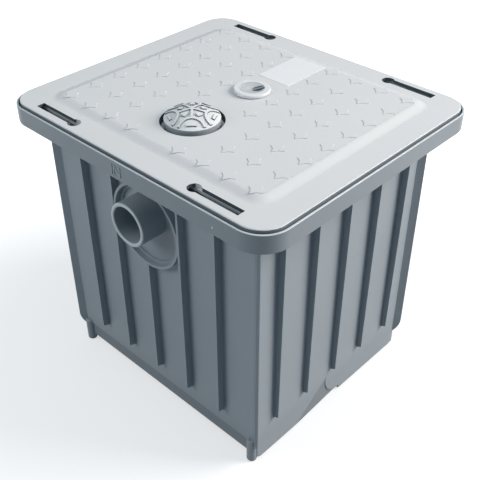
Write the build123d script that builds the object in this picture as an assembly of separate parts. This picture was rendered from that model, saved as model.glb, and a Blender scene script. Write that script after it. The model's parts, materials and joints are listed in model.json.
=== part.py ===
from build123d import *
import os
from math import acos, atan, cos, degrees, pi, radians, sin, sqrt

# Grease trap: a ribbed plastic tank, a recessed lid, and the loose pieces inside.
# Millimetres. +Z is up, water flows along +X, the origin is on the ground under the middle.

# Rim of the tank
RIM_X = 336.0
RIM_Y = 380.0
RIM_R = 32.0
RIM_BAND = 20.0
LIP_Z = 348.0
LIP_T = 2.5
LIP_DEPTH = 7.0
LIP_ROUND = 0.9
SHELF_T = 3.5

# Walls and base of the tank
RIM_OVER_X = 34.5
RIM_OVER_Y = 38.0
BODY_R = 5.0
WALL = 3.5
BODY_Z = 3.0
BASE_TOP = 29.7
BASE_STEP = 1.0
BASE_R = 10.0

# Upright ribs outside the walls
RIB_PITCH = 51.0
RIB_COUNT = 5
RIB_OUT = 8.5
RIB_T = 3.0
RIB_TIP_Z = 54.5
RIB_ROOT_Z = 50.6
CORNER_RIB_OUT = 9.2
CORNER_RIB_T = 3.4
CORNER_RIB_Z = 22.0
CORNER_RIB_R = 25.0

# Feet
FOOT_R = 6.0
FOOT_PROUD = 4.5
FOOT_IN_Y = 7.0
FOOT_TOP = 33.0
FOOT_ROUND = 2.4

# Slanted flat low on each end wall, between a rising line and a round edge
FLAT_X = 18.0
FLAT_Z = 36.0
FLAT_R = 28.0
FLAT_START = 165.0
FLAT_LINE = 37.0
FLAT_TILT = 4.0
FLAT_L = 90.0
FLAT_WALL = 2.6

# Water pipes
PIPE_R = 25.0
PIPE_BORE_R = 20.6
PIPE_OUT = 31.1
PIPE_IN = 15.0
PIPE_ROUND = 1.5
INLET_Z = 272.0
OUTLET_DROP = 12.0
BOSS_R = 50.3
BOSS_T = 3.0
BOSS_OUT = 8.0
BOSS_BELOW = 13.3
BOSS_STEP_OUT = 2.2
BOSS_STEP_T = 4.0

# Fixed tongues that stand up in the lid's slots
TONGUE_T = 6.0
TONGUE_LOW = 6.5
TONGUE_L = 42.0
TONGUE_GAP = 6.3
SLOT_IN_X = 13.4
SLOT_IN_Y = 38.7
SLOT_L = 58.5
SLOT_W = 9.5
SLOT_HOLE_R = 7.2

# Lid
LID_GAP = 1.5
LID_PROUD = 3.0
LID_T = 4.0
LID_SKIRT_T = 2.5
LID_SKIRT_GAP = 1.5
LID_ROUND = 1.2
DECK_EDGE = 33.8
DECK_R = 14.0
DECK_RISE = 3.2
DECK_SLOPE = 3.0
DECK_ROUND = 1.0
STUD_PITCH = 33.8
STUD_TIP = 8.8
STUD_WAIST = 3.6
STUD_RISE = 0.9
STUD_ROUND = 0.5
LID_RIB_T = 2.5
LID_RIB_DEPTH = 8.0
LID_RIB_PITCH = 57.0
LID_RIB_EDGE = 48.0

# Gasket under the lid
GASKET_W = 7.0
GASKET_H = 6.0
GASKET_IN = 6.0
GASKET_R = 12.0
GASKET_RIB_T = 2.0
GASKET_SHOW = 1.8

# Inspection cap in its sunken neck
CAP_IN_X = 62.5
CAP_HOLE_R = 34.0
NECK_T = 3.5
NECK_DEPTH = 19.0
LEDGE_R = 27.0
LEDGE_T = 3.0
CAP_KNOB_R = 29.5
CAP_PROUD = 3.4
CAP_DOME = 8.8
CAP_RELIEF = 1.4
CAP_ROUND = 1.2
CAP_FLANGE_GAP = 0.8
CAP_FLANGE_T = 6.0
CAP_WALL = 3.0
CAP_SPIGOT_GAP = 0.6
CAP_SPIGOT_DEPTH = 9.0
CAP_SEAL_H = 2.4
CAP_SEAL_IN = 1.5
CAP_LOBES = 5
CAP_TURN = 225.0
CAP_LOBE_R = 12.8
CAP_LOBE_AT = 29.5
CAP_RIB_T = 2.4
CAP_BAR_L = 10.0
CAP_BAR_W = 2.6
CAP_BAR_AT = 24.2
CAP_TILE = 5.0
CAP_TILE_AT = 12.4

# Clear sight plug
PORT_FROM_CAP = 89.6
PORT_R = 15.0
PORT_NECK_T = 3.0
PORT_NECK_DEPTH = 8.0
PLUG_HEAD_R = 20.4
PLUG_HEAD_H = 3.2
PLUG_GAP = 0.4
PLUG_DEPTH = 16.0
PLUG_WALL = 2.4
PLUG_DISH_R = 42.0
PLUG_DISH_DEPTH = 2.4
PLUG_SEAL_H = 1.0
PLUG_SEAL_W = 3.2

# Baffle plates and the guides that hold them
BAFFLE_T = 3.0
BAFFLE_TOP = 300.0
BAFFLE_SIDE_GAP = 0.4
BAFFLE_ROUND = 18.0
INLET_CHAMBER = 88.0
OUTLET_CHAMBER = 78.0
GUIDE_T = 2.5
GUIDE_DEPTH = 6.0
GUIDE_GAP = 0.25
GRIP_W = 90.0
GRIP_H = 22.0
GRIP_DOWN = 26.0
FLOW_SLOTS = 5
FLOW_SLOT_W = 28.0
FLOW_SLOT_H = 64.0
FLOW_SLOT_PITCH = 50.0
FLOW_SLOT_Z = 75.0
ARCH_W = 190.0
ARCH_H = 62.0
ARCH_R = 16.0

# Sediment basket and its ledges
BASKET_TOP = 240.0
BASKET_DEPTH = 140.0
BASKET_SIDE_GAP = 6.0
BASKET_WALL = 2.0
BASKET_TAPER = 1.2
BASKET_R = 10.0
BASKET_FLANGE_T = 2.0
BASKET_FLANGE_SIDE = 2.5
BASKET_FLANGE_END_GAP = 1.5
LEDGE_W = 8.5
LEDGE_H = 6.0
HOLE_ROWS = 3
HOLE_W = 6.0
HOLE_H = 30.0
HOLE_PITCH_Y = 31.0
HOLE_PITCH_Z = 40.0
END_HOLE_PITCH = 20.0
END_HOLES = 3
FLOOR_HOLE_L = 44.0

# Basket handle
BAIL_R = 2.5
BAIL_LEG = 34.0
BAIL_BEND = 8.0
BAIL_UP = 3.0
EAR_T = 3.0
EAR_W = 13.0
EAR_GAP = 0.25

# Outlet tee, dip pipe and cleaning cap
TEE_IN_X = 44.0
TEE_RUN_R = 25.0
TEE_BORE_R = 22.5
SOCKET_R = 29.0
SOCKET_GAP = 0.3
SOCKET_L = 24.0
TEE_TOP = 306.0
TEE_SOCKET_TOP = 226.0
RING_SEAL_H = 2.4
RING_SEAL_W = 2.8
RING_SEAL_LIP = 1.0
RING_SEAL_GAP = 0.1
DIP_END_Z = 72.0
DIP_BORE_R = 23.2
DIP_NOTCH_W = 16.0
DIP_NOTCH_H = 12.0
TEE_CAP_R = 28.5
TEE_CAP_SEAL_H = 1.5
TEE_CAP_T = 3.0
TEE_CAP_SKIRT = 10.0
TEE_CAP_GAP = 0.3
TEE_TAB_L = 30.0
TEE_TAB_W = 4.0
TEE_TAB_H = 9.0
TEE_TAB_R = 3.0

# Levels and spans worked out from the sizes above
SHELF_Z = LIP_Z - LIP_DEPTH
BODY_X = RIM_X - 2 * RIM_OVER_X
BODY_Y = RIM_Y - 2 * RIM_OVER_Y
CAVITY_X = BODY_X - 2 * WALL
CAVITY_Y = BODY_Y - 2 * WALL
FLOOR_Z = BODY_Z + WALL
LID_TOP = LIP_Z + LID_PROUD
LID_UNDER = LID_TOP - LID_T
LID_X = RIM_X - 2 * LIP_T - 2 * LID_GAP
LID_Y = RIM_Y - 2 * LIP_T - 2 * LID_GAP
LID_R = RIM_R - LIP_T - LID_GAP
SLOT_X = LID_X / 2 - SLOT_IN_X
SLOT_END = LID_Y / 2 - SLOT_IN_Y
SLOT_HOLE_Y = SLOT_END - SLOT_L
TONGUE_END = SLOT_END - TONGUE_GAP
DECK_X = LID_X - 2 * DECK_EDGE
DECK_Y = LID_Y - 2 * DECK_EDGE
CAP_X = -DECK_X / 2 + CAP_IN_X
PORT_X = CAP_X + PORT_FROM_CAP
STUD_COLUMNS = 1 + int((DECK_X - 2 * DECK_SLOPE - 2 * STUD_TIP) // STUD_PITCH)
STUD_ROWS = int((DECK_Y / 2 - DECK_SLOPE - STUD_TIP) // STUD_PITCH)
DECK_TOP = LID_TOP + DECK_RISE
DECK_UNDER = DECK_TOP - LID_T
OUTLET_Z = INLET_Z - OUTLET_DROP
BOSS_Z = INLET_Z - BOSS_BELOW
NECK_Z = DECK_TOP - NECK_DEPTH
LEDGE_TOP = NECK_Z + LEDGE_T
CAP_FLANGE_Z = LEDGE_TOP + CAP_SEAL_H
CAP_EDGE_Z = DECK_TOP + CAP_PROUD
CAP_DOME_R = (CAP_KNOB_R**2 + CAP_DOME**2) / (2 * CAP_DOME)
CAP_DOME_Z = CAP_EDGE_Z + CAP_DOME - CAP_DOME_R
INLET_BAFFLE_X = -CAVITY_X / 2 + INLET_CHAMBER
OUTLET_BAFFLE_X = CAVITY_X / 2 - OUTLET_CHAMBER
TEE_X = CAVITY_X / 2 - TEE_IN_X
BASKET_X0 = -CAVITY_X / 2 + BASKET_SIDE_GAP
BASKET_X1 = INLET_BAFFLE_X - BAFFLE_T / 2 - BASKET_SIDE_GAP
BASKET_X = (BASKET_X0 + BASKET_X1) / 2
BASKET_W = BASKET_X1 - BASKET_X0
BASKET_L = CAVITY_Y - 2 * LEDGE_W - 2 * BASKET_WALL
BASKET_RIM_Z = BASKET_TOP + BASKET_FLANGE_T
HOLE_COLUMNS = int((BASKET_L - 2 * BASKET_R) // HOLE_PITCH_Y)
BAIL_Z = BASKET_RIM_Z + BAIL_UP
BAIL_Y = BASKET_L / 2 - BASKET_WALL - BAIL_R
STUB_X = CAVITY_X / 2 - PIPE_IN
TEE_SOCKET_X = CAVITY_X / 2 - WALL
TEE_SEAL_X = (STUB_X + TEE_SOCKET_X) / 2
DIP_TOP = TEE_SOCKET_TOP - WALL
DIP_SEAL_Z = TEE_SOCKET_TOP - SOCKET_L / 2
TEE_ROOF_Z = TEE_TOP + TEE_CAP_SEAL_H
SIDES = (-1, 1)
CUT_OVER = 1.0

UP = Align.MIN
MID = Align.CENTER


def block(x, y, z, base=(0, 0, 0)):
    """A box that stands on its base point."""
    return Pos(*base) * Box(x, y, z, align=(MID, MID, UP))


def disc(radius, height, base=(0, 0, 0)):
    """A cylinder that stands on its base point."""
    return Pos(*base) * Cylinder(radius, height, align=(MID, MID, UP))


def pipe_x(radius, x0, x1, y, z):
    """A cylinder along X from x0 to x1."""
    turn = Pos(min(x0, x1), y, z) * Rot(0, 90, 0)
    return turn * Cylinder(radius, abs(x1 - x0), align=(MID, MID, UP))


def slab(x, y, r, z0, z1):
    """A rounded rectangle pulled up from z0 to z1."""
    return Pos(0, 0, z0) * extrude(RectangleRounded(x, y, r), z1 - z0)


def ring_wall(x, y, r, thick, z0, z1):
    """A rounded rectangular wall with its outer face at x, y."""
    inner = slab(x - 2 * thick, y - 2 * thick, r - thick, z0, z1)
    return slab(x, y, r, z0, z1) - inner


def side_profile(inset, z0, z1):
    """The tank seen along Y: straight walls, a stepped-in base and rounded lower corners."""
    step_z = BASE_TOP + inset
    low_w = BODY_X - 2 * BASE_STEP - 2 * inset
    low = Pos(0, (z0 + step_z) / 2) * Rectangle(low_w, step_z - z0)
    corners = low.vertices().sort_by(Axis.Y)[:2]
    low = fillet(corners, BASE_R - inset)
    high = Pos(0, (step_z + z1) / 2) * Rectangle(BODY_X - 2 * inset, z1 - step_z)
    return low + high


def shell_block(inset, z0, z1, corner):
    """The tank's outside, or its hollow when inset by the wall."""
    along_y = extrude(Plane.XZ * side_profile(inset, z0, z1), BODY_Y / 2 - inset, both=True)
    return along_y & slab(BODY_X - 2 * inset, BODY_Y - 2 * inset, corner, z0, z1)


def rib_plate(out, thick, foot_line):
    """One upright rib that stands out along +X from x = 0, with a slanted foot."""
    root = -WALL / 2
    top = SHELF_Z - SHELF_T / 2
    outline = Polyline((root, foot_line[0]), (out, foot_line[1]), (out, top), (root, top), close=True)
    face = make_face(Plane.XZ * outline)
    return extrude(face, thick / 2, both=True)


def corner_rib():
    """A rib that stands out of a corner at 45 degrees and curves in at its foot."""
    top = SHELF_Z - SHELF_T / 2
    root = -BODY_R
    centre_x = CORNER_RIB_OUT - CORNER_RIB_R
    sweep_angle = degrees(acos(-centre_x / CORNER_RIB_R))
    centre_z = CORNER_RIB_Z + CORNER_RIB_R * sin(radians(sweep_angle))
    arc = CenterArc((centre_x, centre_z), CORNER_RIB_R, 0, -sweep_angle)
    rest = Polyline(arc @ 1, (root, CORNER_RIB_Z), (root, top), (CORNER_RIB_OUT, top), arc @ 0)
    face = make_face(Plane.XZ * (arc + rest))
    return extrude(face, CORNER_RIB_T / 2, both=True)


def wall_ribs():
    """Five ribs on each wall and one at each corner."""
    ribs = Part()
    plate = rib_plate(RIB_OUT, RIB_T, (RIB_ROOT_Z, RIB_TIP_Z))
    for turn, reach in ((0, BODY_X / 2), (90, BODY_Y / 2), (180, BODY_X / 2), (270, BODY_Y / 2)):
        for k in range(RIB_COUNT):
            along = (k - (RIB_COUNT - 1) / 2) * RIB_PITCH
            ribs += Rot(0, 0, turn) * Pos(reach, along, 0) * plate
    diagonal = BODY_R * (1 - cos(radians(45)))
    for sx in SIDES:
        for sy in SIDES:
            turn = 45 * sy if sx > 0 else 180 - 45 * sy
            at = Pos(sx * (BODY_X / 2 - diagonal), sy * (BODY_Y / 2 - diagonal), 0)
            ribs += at * Rot(0, 0, turn) * corner_rib()
    return ribs


def feet():
    """Four round pegs, each partly inside the wall."""
    pegs = Part()
    for sx in SIDES:
        for sy in SIDES:
            at = (sx * (BODY_X / 2 + FOOT_PROUD - FOOT_R), sy * (BODY_Y / 2 - FOOT_IN_Y), 0)
            peg = disc(FOOT_R, FOOT_TOP, at)
            pegs += fillet(peg.edges().filter_by(GeomType.CIRCLE), FOOT_ROUND)
    return pegs


def rim():
    """The shelf the lid sits over, with the band that hangs and stands round it."""
    shelf = slab(RIM_X - LIP_T, RIM_Y - LIP_T, RIM_R - LIP_T / 2, SHELF_Z - SHELF_T, SHELF_Z)
    band = ring_wall(RIM_X, RIM_Y, RIM_R, LIP_T, LIP_Z - RIM_BAND, LIP_Z)
    top_edges = band.edges().group_by(Axis.Z)[-1]
    band = fillet(top_edges, LIP_ROUND)
    return shelf + band


def tongues():
    """Four tongues on the shelf, one in each of the lid's slots."""
    parts = Part()
    middle = TONGUE_END - TONGUE_L / 2
    height = LID_TOP - TONGUE_LOW - SHELF_Z
    for sx in SIDES:
        for sy in SIDES:
            shape = Pos(sx * SLOT_X, sy * middle, SHELF_Z) * Rot(0, 0, 90) * SlotOverall(TONGUE_L, TONGUE_T)
            parts += extrude(shape, height)
    return parts


def pipe_boss(side, pipe_z):
    """The thin ring round a pipe and the pipe itself, outside and inside the wall."""
    face = side * BODY_X / 2
    root = side * (BODY_X / 2 - WALL / 2)
    boss = pipe_x(BOSS_R, root, face + side * BOSS_OUT, 0, BOSS_Z)
    boss -= pipe_x(BOSS_R - BOSS_T, face, face + side * BOSS_OUT, 0, BOSS_Z)
    step = pipe_x(BOSS_R - BOSS_T, root, face + side * BOSS_STEP_OUT, 0, BOSS_Z)
    step -= pipe_x(BOSS_R - BOSS_T - BOSS_STEP_T, face, face + side * BOSS_STEP_OUT, 0, BOSS_Z)
    mouth = face + side * PIPE_OUT
    pipe = pipe_x(PIPE_R, side * STUB_X, mouth, 0, pipe_z)
    pipe -= pipe_x(PIPE_BORE_R, side * STUB_X, mouth, 0, pipe_z)
    rims = pipe.edges().filter_by(GeomType.CIRCLE)
    pipe = fillet([e for e in rims if abs(e.center().X - mouth) < 1], PIPE_ROUND)
    return boss + step, pipe


def tank_guides():
    """Rib pairs that hold the baffles and the two ledges that carry the basket."""
    parts = Part()
    depth = GUIDE_DEPTH + WALL / 2
    for x in (INLET_BAFFLE_X, OUTLET_BAFFLE_X):
        for side in SIDES:
            offset = side * (BAFFLE_T / 2 + GUIDE_GAP + GUIDE_T / 2)
            for sy in SIDES:
                at = (x + offset, sy * (CAVITY_Y / 2 + (depth / 2 - GUIDE_DEPTH)), FLOOR_Z - WALL / 2)
                parts += block(GUIDE_T, depth, BAFFLE_TOP - FLOOR_Z + WALL / 2, at)
    ledge_l = BASKET_W + 2 * BASKET_FLANGE_SIDE
    for sy in SIDES:
        at = (BASKET_X, sy * (CAVITY_Y / 2 + WALL / 4 - LEDGE_W / 2), BASKET_TOP - LEDGE_H)
        parts += block(ledge_l, LEDGE_W + WALL / 2, LEDGE_H, at)
    return parts


def end_flats(wall):
    """The slanted flats of the two end walls, or the same shapes set inwards by a wall."""
    line = radians(FLAT_LINE)
    tilt = radians(FLAT_TILT)
    start = radians(FLAT_START)
    at = (FLAT_X + FLAT_R * cos(start), -BODY_Y / 2, FLAT_Z + FLAT_R * sin(start))
    out = (sin(line) * sin(tilt), -cos(tilt), -cos(line) * sin(tilt))
    face = Plane(origin=at, x_dir=(-cos(line), 0, -sin(line)), z_dir=out)
    flat = face * Pos(0, 0, -wall) * Box(2 * FLAT_L, FLAT_L, FLAT_L, align=(MID, UP, UP))
    edge = Pos(FLAT_X, -BODY_Y / 2, FLAT_Z) * Rot(90, 0, 0) * Cylinder(FLAT_R - wall, 2 * FLAT_L)
    side = Pos(FLAT_X + wall - FLAT_L, -BODY_Y / 2, 0) * Box(2 * FLAT_L, 2 * FLAT_L, 2 * FLAT_L)
    flat = (flat - edge) & side
    return flat + mirror(flat, about=Plane.XZ)


def make_tank():
    """The one-piece moulded tank."""
    outside = shell_block(0, BODY_Z, SHELF_Z - SHELF_T / 2, BODY_R)
    ribs = wall_ribs()
    bosses = Part()
    pipes = Part()
    for side, pipe_z in ((-1, INLET_Z), (1, OUTLET_Z)):
        face = side * BODY_X / 2
        ribs -= pipe_x(BOSS_R, face, face + side * 2 * RIB_OUT, 0, BOSS_Z)
        boss, pipe = pipe_boss(side, pipe_z)
        bosses += boss
        pipes += pipe
    hollow = shell_block(WALL, FLOOR_Z, SHELF_Z, BODY_R - WALL)
    tank = outside + ribs + feet() + rim() - hollow
    tank += outside & end_flats(FLAT_WALL)
    tank -= end_flats(0)
    tank += bosses
    for side, pipe_z in ((-1, INLET_Z), (1, OUTLET_Z)):
        tank -= pipe_x(PIPE_R, side * CAVITY_X / 3, side * (BODY_X / 2 + BOSS_OUT), 0, pipe_z)
    return tank + pipes + tongues() + tank_guides()


def star(tip, waist):
    """A four-pointed star with its blunt points along X and Y."""
    points = []
    for k in range(8):
        reach = tip + STUD_ROUND if k % 2 == 0 else waist * sqrt(2)
        points.append((reach * cos(k * pi / 4), reach * sin(k * pi / 4)))
    return make_face(Polyline(*points, close=True)) & Rectangle(2 * tip, 2 * tip)


def stud_places():
    """Where the anti-slip studs stand: a grid with the middle row and the cap's place left free."""
    places = []
    for column in range(STUD_COLUMNS):
        x = (column - (STUD_COLUMNS - 1) / 2) * STUD_PITCH
        for row in range(-STUD_ROWS, STUD_ROWS + 1):
            y = row * STUD_PITCH
            near_cap = (x - CAP_X) ** 2 + y**2 < (CAP_HOLE_R + STUD_TIP) ** 2
            if row != 0 and not near_cap:
                places.append((x, y))
    return places


def keyhole(sx, sy):
    """One slot of the lid, with its round end nearer the middle."""
    straight = Pos(sx * SLOT_X, sy * (SLOT_END + SLOT_HOLE_Y) / 2) * Rectangle(SLOT_W, SLOT_L)
    return straight + Pos(sx * SLOT_X, sy * SLOT_HOLE_Y) * Circle(SLOT_HOLE_R)


def gasket_span(grow):
    """The gasket's outer sizes, grown by a margin on every side."""
    x = CAVITY_X + 2 * (GASKET_IN + GASKET_W + grow)
    y = CAVITY_Y + 2 * (GASKET_IN + GASKET_W + grow)
    return x, y, GASKET_R + grow


def make_lid():
    """The lid with its raised deck, studs, necks and the ribs underneath."""
    plate = slab(LID_X, LID_Y, LID_R, LID_UNDER, LID_TOP)
    plate = fillet(plate.edges().group_by(Axis.Z)[-1], LID_ROUND)
    skirt_z = SHELF_Z + LID_SKIRT_GAP
    skirt = ring_wall(LID_X, LID_Y, LID_R, LID_SKIRT_T, skirt_z, LID_UNDER + LID_T / 2)
    taper = degrees(atan(DECK_SLOPE / DECK_RISE))
    deck = Pos(0, 0, LID_TOP) * extrude(RectangleRounded(DECK_X, DECK_Y, DECK_R), DECK_RISE, taper=taper)
    lid = plate + skirt + fillet(deck.edges().group_by(Axis.Z)[-1], DECK_ROUND)
    pocket_x = DECK_X - 2 * LID_T - DECK_SLOPE
    pocket_y = DECK_Y - 2 * LID_T - DECK_SLOPE
    lid -= slab(pocket_x, pocket_y, DECK_R - LID_T, LID_UNDER - CUT_OVER, DECK_UNDER)
    rib_z = DECK_UNDER - LID_RIB_DEPTH
    rib_h = LID_RIB_DEPTH + LID_T / 2
    for steps in (-2, -1, 1, 2):
        lid += block(pocket_x, LID_RIB_T, rib_h, (0, steps * LID_RIB_PITCH, rib_z))
    between = (CAP_X + CAP_HOLE_R + NECK_T + PORT_X - PORT_R - PORT_NECK_T) / 2
    for x in (between, DECK_X / 2 - LID_RIB_EDGE):
        lid += block(LID_RIB_T, pocket_y, rib_h, (x, 0, rib_z))
    for grow in (GASKET_RIB_T, -GASKET_W):
        x, y, r = gasket_span(grow)
        lid += ring_wall(x, y, r, GASKET_RIB_T, SHELF_Z + GASKET_SHOW, LID_UNDER + LID_T / 2)
    neck_h = DECK_UNDER + LID_T / 2 - NECK_Z
    lid += disc(CAP_HOLE_R + NECK_T, neck_h, (CAP_X, 0, NECK_Z))
    port_z = DECK_UNDER - PORT_NECK_DEPTH
    lid += disc(PORT_R + PORT_NECK_T, PORT_NECK_DEPTH + LID_T / 2, (PORT_X, 0, port_z))
    lid -= disc(LEDGE_R, NECK_DEPTH + LID_T, (CAP_X, 0, NECK_Z - LID_T))
    lid -= disc(CAP_HOLE_R, NECK_DEPTH, (CAP_X, 0, LEDGE_TOP))
    lid -= disc(PORT_R, NECK_DEPTH + LID_T, (PORT_X, 0, NECK_Z))
    for sx in SIDES:
        for sy in SIDES:
            lid -= Pos(0, 0, LID_UNDER - CUT_OVER) * extrude(keyhole(sx, sy), LID_T + 2 * CUT_OVER)
    stud = extrude(star(STUD_TIP, STUD_WAIST), STUD_RISE + LID_T / 2)
    studs = [Pos(x, y, DECK_TOP - LID_T / 2) * stud for x, y in stud_places()]
    return lid + studs


def make_gasket():
    """The rubber ring between the lid and the shelf."""
    x, y, r = gasket_span(0)
    return ring_wall(x, y, r, GASKET_W, SHELF_Z, SHELF_Z + GASKET_H)


def cap_relief():
    """Raised grip pattern: hoops round five lobes at the edge, a bar in each, spokes and tiles."""
    pattern = Sketch()
    reach = CAP_LOBE_AT - CAP_LOBE_R
    for k in range(CAP_LOBES):
        turn = Rot(0, 0, CAP_TURN + 360 / CAP_LOBES * k)
        hoop = Pos(CAP_LOBE_AT, 0) * (Circle(CAP_LOBE_R + CAP_RIB_T) - Circle(CAP_LOBE_R))
        spoke = Pos((reach - CAP_RIB_T / 2) / 2, 0) * Rectangle(reach - CAP_RIB_T / 2, CAP_RIB_T)
        bar = Pos(CAP_BAR_AT, 0) * Rectangle(CAP_BAR_W, CAP_BAR_L)
        tile = Rot(0, 0, 180 / CAP_LOBES) * Pos(CAP_TILE_AT, 0) * Rectangle(CAP_TILE, CAP_TILE)
        pattern += turn * (hoop + spoke + bar + tile)
    return pattern & Circle(CAP_KNOB_R - CAP_ROUND)


def dome(grow, radius, z0):
    """The cap's domed top inside a radius, grown outwards by a margin."""
    ball = Pos(0, 0, CAP_DOME_Z) * Sphere(CAP_DOME_R + grow)
    return disc(radius, CAP_DOME_R, (0, 0, z0)) & ball


def make_cap():
    """The inspection cap: a hollow domed knob on a flange, with a short spigot below."""
    flange_r = CAP_HOLE_R - CAP_FLANGE_GAP
    knob = dome(0, CAP_KNOB_R, CAP_FLANGE_Z)
    circles = knob.edges().filter_by(GeomType.CIRCLE)
    knob = fillet([e for e in circles if abs(e.center().Z - CAP_EDGE_Z) < 1], CAP_ROUND)
    cap = knob + disc(flange_r, CAP_FLANGE_T, (0, 0, CAP_FLANGE_Z))
    spigot_r = LEDGE_R - CAP_SPIGOT_GAP
    hollow_z = CAP_FLANGE_Z - CAP_SPIGOT_DEPTH
    cap += disc(spigot_r, CAP_SPIGOT_DEPTH + CAP_FLANGE_T / 2, (0, 0, hollow_z))
    cap -= dome(-CAP_WALL, spigot_r - CAP_WALL, hollow_z)
    relief = Pos(0, 0, CAP_EDGE_Z) * extrude(cap_relief(), CAP_DOME_R)
    relief &= Pos(0, 0, CAP_DOME_Z) * Sphere(CAP_DOME_R + CAP_RELIEF)
    return Pos(CAP_X, 0, 0) * (cap + relief)


def make_cap_seal():
    """The flat ring under the cap's flange."""
    outer = CAP_HOLE_R - CAP_SEAL_IN
    ring = disc(outer, CAP_SEAL_H, (CAP_X, 0, LEDGE_TOP))
    return ring - disc(LEDGE_R + CAP_SEAL_IN, CAP_SEAL_H, (CAP_X, 0, LEDGE_TOP))


def make_sight_plug():
    """The clear plug: a dished head on a hollow stem."""
    head_z = DECK_TOP + PLUG_SEAL_H
    plug = disc(PLUG_HEAD_R, PLUG_HEAD_H, (0, 0, head_z))
    plug = fillet(plug.edges().group_by(Axis.Z)[-1], PLUG_HEAD_H / 2)
    dish = Pos(0, 0, head_z + PLUG_HEAD_H - PLUG_DISH_DEPTH + PLUG_DISH_R) * Sphere(PLUG_DISH_R)
    plug -= dish
    stem_r = PORT_R - PLUG_GAP
    stem = disc(stem_r, PLUG_DEPTH, (0, 0, head_z - PLUG_DEPTH))
    stem -= disc(stem_r - PLUG_WALL, PLUG_DEPTH - PLUG_WALL, (0, 0, head_z - PLUG_DEPTH))
    return Pos(PORT_X, 0, 0) * (plug + stem)


def make_sight_seal():
    """The flat ring under the clear plug's head."""
    ring = disc(PORT_R + PLUG_SEAL_W, PLUG_SEAL_H, (PORT_X, 0, DECK_TOP))
    return ring - disc(PORT_R, PLUG_SEAL_H, (PORT_X, 0, DECK_TOP))


def baffle_blank(x):
    """A plate that fills the tank's width between its guides, with a hand hole at the top."""
    width = CAVITY_Y - 2 * BAFFLE_SIDE_GAP
    height = BAFFLE_TOP - FLOOR_Z
    face = Pos(0, FLOOR_Z + height / 2) * Rectangle(width, height)
    face = fillet(face.vertices().sort_by(Axis.Y)[-2:], BAFFLE_ROUND)
    grip = Pos(0, BAFFLE_TOP - GRIP_DOWN) * SlotOverall(GRIP_W, GRIP_H)
    return Pos(x, 0, 0), face - grip


def plate_solid(place, face):
    """Turns a Y-Z outline into a plate of the baffles' thickness."""
    return place * extrude(Plane.YZ * face, BAFFLE_T / 2, both=True)


def make_inlet_baffle():
    """The baffle with a row of upright slots low down."""
    place, face = baffle_blank(INLET_BAFFLE_X)
    for k in range(FLOW_SLOTS):
        y = (k - (FLOW_SLOTS - 1) / 2) * FLOW_SLOT_PITCH
        face -= Pos(y, FLOW_SLOT_Z) * Rot(0, 0, 90) * SlotOverall(FLOW_SLOT_H, FLOW_SLOT_W)
    return plate_solid(place, face)


def make_outlet_baffle():
    """The baffle with one wide arch at the floor."""
    place, face = baffle_blank(OUTLET_BAFFLE_X)
    arch = Pos(0, FLOOR_Z + ARCH_H / 2) * Rectangle(ARCH_W, ARCH_H)
    arch = fillet(arch.vertices().sort_by(Axis.Y)[-2:], ARCH_R)
    return plate_solid(place, face - arch)


def make_basket():
    """The perforated basket that hangs on the two ledges."""
    depth = BASKET_DEPTH + BASKET_FLANGE_T
    outer = extrude(RectangleRounded(BASKET_W, BASKET_L, BASKET_R), -depth, taper=BASKET_TAPER)
    inner_w = BASKET_W - 2 * BASKET_WALL
    inner_l = BASKET_L - 2 * BASKET_WALL
    inner = extrude(
        RectangleRounded(inner_w, inner_l, BASKET_R - BASKET_WALL), -(depth - BASKET_WALL), taper=BASKET_TAPER
    )
    flange_w = BASKET_W + 2 * BASKET_FLANGE_SIDE
    flange_l = CAVITY_Y - 2 * BASKET_FLANGE_END_GAP
    flange = extrude(RectangleRounded(flange_w, flange_l, BASKET_R), -BASKET_FLANGE_T)
    ears = Part()
    for sy in SIDES:
        y = sy * (BASKET_L / 2 + EAR_T / 2 - BASKET_WALL / 2)
        ear = block(EAR_W, EAR_T, BAIL_UP, (0, y, 0))
        ear += Pos(0, y, BAIL_UP) * Rot(90, 0, 0) * Cylinder(EAR_W / 2, EAR_T)
        ear -= Pos(0, y, BAIL_UP) * Rot(90, 0, 0) * Cylinder(BAIL_R + EAR_GAP, 2 * EAR_T)
        ears += ear & block(EAR_W, BASKET_L, EAR_W, (0, 0, 0))
    basket = outer + flange + ears - inner
    cuts = []
    for column in range(HOLE_COLUMNS):
        y = (column - (HOLE_COLUMNS - 1) / 2) * HOLE_PITCH_Y
        for row in range(HOLE_ROWS):
            z = -depth / 2 + (row - (HOLE_ROWS - 1) / 2) * HOLE_PITCH_Z
            cuts.append(Pos(0, y, z) * Box(BASKET_W + 4 * BASKET_WALL, HOLE_W, HOLE_H))
        cuts.append(Pos(0, y, -depth) * Box(FLOOR_HOLE_L, HOLE_W, 4 * BASKET_WALL))
    for column in range(END_HOLES):
        x = (column - (END_HOLES - 1) / 2) * END_HOLE_PITCH
        for row in range(HOLE_ROWS):
            z = -depth / 2 + (row - (HOLE_ROWS - 1) / 2) * HOLE_PITCH_Z
            cuts.append(Pos(x, 0, z) * Box(HOLE_W, BASKET_L + 4 * BASKET_WALL, HOLE_H))
    return Pos(BASKET_X, 0, BASKET_RIM_Z) * (basket - cuts)


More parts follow.
